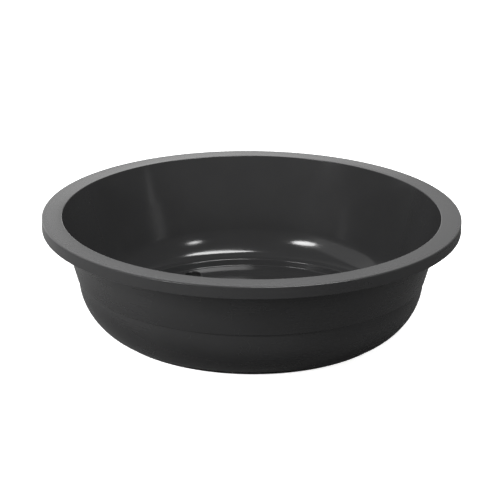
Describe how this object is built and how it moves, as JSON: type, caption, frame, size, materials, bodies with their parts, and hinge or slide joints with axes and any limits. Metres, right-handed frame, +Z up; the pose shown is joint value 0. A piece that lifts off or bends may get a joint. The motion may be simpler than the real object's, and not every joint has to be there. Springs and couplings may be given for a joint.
{
  "type": "gold pan",
  "caption": "Round glossy black moulded pan with a flat down-turned rim, stacking shoulder, sunken floor and lift-out drain plugs.",
  "frame": {"origin": "centre of the base, on the surface that the foot ring stands on", "axes": "+Z up along the pan's axis, out of its mouth; the front, as pictured, faces -Y; +X is to the right"},
  "size_m": [0.3559, 0.356, 0.097],
  "materials": {
    "pan_plastic": "glossy black moulded plastic with fine scuffs",
    "plug_rubber": "matte black rubber"
  },
  "bodies": {
    "pan": {"pan_shell": "pan_plastic"},
    "plug_1": {"drain_plug_1": "plug_rubber"},
    "plug_2": {"drain_plug_2": "plug_rubber"},
    "plug_3": {"drain_plug_3": "plug_rubber"},
    "plug_4": {"drain_plug_4": "plug_rubber"}
  },
  "joints": [
    {"name": "plug_1_pull", "type": "slide", "parent": "pan", "child": "plug_1", "axis": [0, 0, 1], "range_m": [0, 0.11]},
    {"name": "plug_2_pull", "type": "slide", "parent": "pan", "child": "plug_2", "axis": [0, 0, 1], "range_m": [0, 0.11]},
    {"name": "plug_3_pull", "type": "slide", "parent": "pan", "child": "plug_3", "axis": [0, 0, 1], "range_m": [0, 0.11]},
    {"name": "plug_4_pull", "type": "slide", "parent": "pan", "child": "plug_4", "axis": [0, 0, 1], "range_m": [0, 0.11]}
  ]
}
